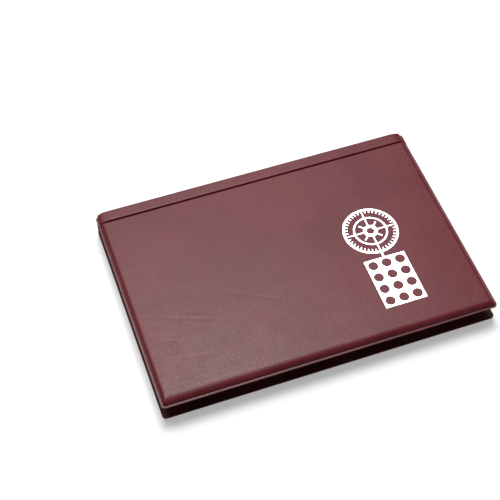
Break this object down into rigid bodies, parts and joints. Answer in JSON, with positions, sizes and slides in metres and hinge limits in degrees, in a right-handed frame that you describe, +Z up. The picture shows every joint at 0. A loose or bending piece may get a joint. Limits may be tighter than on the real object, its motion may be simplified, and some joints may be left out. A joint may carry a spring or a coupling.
{
  "type": "coin album",
  "caption": "Closed pocket album for coins: padded vinyl covers with welded rims, a soft hinged spine and clear pocket pages that fan as it opens.",
  "frame": {"origin": "centre of the closed album's footprint, on the surface it lies on", "axes": "+X along the spine towards the album's head, +Y from the fore-edge to the spine, +Z up through the front cover"},
  "size_m": [0.18, 0.125, 0.0157],
  "materials": {
    "burgundy_vinyl": "satin",
    "lining_vinyl": "matte",
    "foam": "matte",
    "grey_board": "matte",
    "binding_vinyl": "satin",
    "clear_film": "gloss",
    "silver_foil": "satin"
  },
  "bodies": {
    "back_cover": {"back_cover_skin": "burgundy_vinyl", "back_foam_pad": "foam", "back_board": "grey_board", "back_lining": "lining_vinyl", "back_band_pad": "foam"},
    "spine": {"spine_skin": "burgundy_vinyl", "spine_pad": "foam", "spine_lining": "lining_vinyl", "page_binding_strip": "binding_vinyl"},
    "front_band": {"front_band_skin": "burgundy_vinyl", "front_band_pad": "foam", "front_band_lining": "lining_vinyl"},
    "front_cover": {"front_cover_skin": "burgundy_vinyl", "front_foam_pad": "foam", "front_board": "grey_board", "front_lining": "lining_vinyl", "foil_ornament": "silver_foil"},
    "page_01": {"page_01_back_film": "clear_film", "page_01_pocket_film": "clear_film"},
    "page_02": {"page_02_back_film": "clear_film", "page_02_pocket_film": "clear_film"},
    "page_03": {"page_03_back_film": "clear_film", "page_03_pocket_film": "clear_film"},
    "page_04": {"page_04_back_film": "clear_film", "page_04_pocket_film": "clear_film"},
    "page_05": {"page_05_back_film": "clear_film", "page_05_pocket_film": "clear_film"},
    "page_06": {"page_06_back_film": "clear_film", "page_06_pocket_film": "clear_film"},
    "page_07": {"page_07_back_film": "clear_film", "page_07_pocket_film": "clear_film"},
    "page_08": {"page_08_back_film": "clear_film", "page_08_pocket_film": "clear_film"},
    "page_09": {"page_09_back_film": "clear_film", "page_09_pocket_film": "clear_film"},
    "page_10": {"page_10_back_film": "clear_film", "page_10_pocket_film": "clear_film"}
  },
  "joints": [
    {"name": "spine_fold", "type": "hinge", "parent": "back_cover", "child": "spine", "pos_m": [0, 0.0613, 0.0012], "axis": [-1, 0, 0], "range_deg": [0, 60]},
    {"name": "front_fold", "type": "hinge", "parent": "spine", "child": "front_band", "pos_m": [0, 0.0613, 0.0145], "axis": [-1, 0, 0], "range_deg": [0, 60]},
    {"name": "front_cover_hinge", "type": "hinge", "parent": "front_band", "child": "front_cover", "pos_m": [0, 0.055, 0.0147], "axis": [-1, 0, 0], "range_deg": [0, 65]},
    {"name": "page_01_turn", "type": "hinge", "parent": "spine", "child": "page_01", "pos_m": [0, 0.0601, 0.00358], "axis": [-1, 0, 0], "range_deg": [-49.1, 0]},
    {"name": "page_02_turn", "type": "hinge", "parent": "spine", "child": "page_02", "pos_m": [0, 0.0601, 0.00453], "axis": [-1, 0, 0], "range_deg": [-38.2, 0]},
    {"name": "page_03_turn", "type": "hinge", "parent": "spine", "child": "page_03", "pos_m": [0, 0.0601, 0.00547], "axis": [-1, 0, 0], "range_deg": [-27.3, 0]},
    {"name": "page_04_turn", "type": "hinge", "parent": "spine", "child": "page_04", "pos_m": [0, 0.0601, 0.00643], "axis": [-1, 0, 0], "range_deg": [-16.4, 0]},
    {"name": "page_05_turn", "type": "hinge", "parent": "spine", "child": "page_05", "pos_m": [0, 0.0601, 0.00737], "axis": [-1, 0, 0], "range_deg": [-5.5, 0]},
    {"name": "page_06_turn", "type": "hinge", "parent": "spine", "child": "page_06", "pos_m": [0, 0.0601, 0.00833], "axis": [-1, 0, 0], "range_deg": [0, 5.5]},
    {"name": "page_07_turn", "type": "hinge", "parent": "spine", "child": "page_07", "pos_m": [0, 0.0601, 0.00928], "axis": [-1, 0, 0], "range_deg": [0, 16.4]},
    {"name": "page_08_turn", "type": "hinge", "parent": "spine", "child": "page_08", "pos_m": [0, 0.0601, 0.01022], "axis": [-1, 0, 0], "range_deg": [0, 27.3]},
    {"name": "page_09_turn", "type": "hinge", "parent": "spine", "child": "page_09", "pos_m": [0, 0.0601, 0.01117], "axis": [-1, 0, 0], "range_deg": [0, 38.2]},
    {"name": "page_10_turn", "type": "hinge", "parent": "spine", "child": "page_10", "pos_m": [0, 0.0601, 0.01213], "axis": [-1, 0, 0], "range_deg": [0, 49.1]}
  ],
  "couplings": [
    {"joint": "front_fold", "follows": "spine_fold", "ratio": 1},
    {"joint": "page_01_turn", "follows": "spine_fold", "ratio": -0.81818},
    {"joint": "page_02_turn", "follows": "spine_fold", "ratio": -0.63636},
    {"joint": "page_03_turn", "follows": "spine_fold", "ratio": -0.45454},
    {"joint": "page_04_turn", "follows": "spine_fold", "ratio": -0.27273},
    {"joint": "page_05_turn", "follows": "spine_fold", "ratio": -0.090909},
    {"joint": "page_06_turn", "follows": "spine_fold", "ratio": 0.090909},
    {"joint": "page_07_turn", "follows": "spine_fold", "ratio": 0.27273},
    {"joint": "page_08_turn", "follows": "spine_fold", "ratio": 0.45454},
    {"joint": "page_09_turn", "follows": "spine_fold", "ratio": 0.63636},
    {"joint": "page_10_turn", "follows": "spine_fold", "ratio": 0.81818}
  ]
}
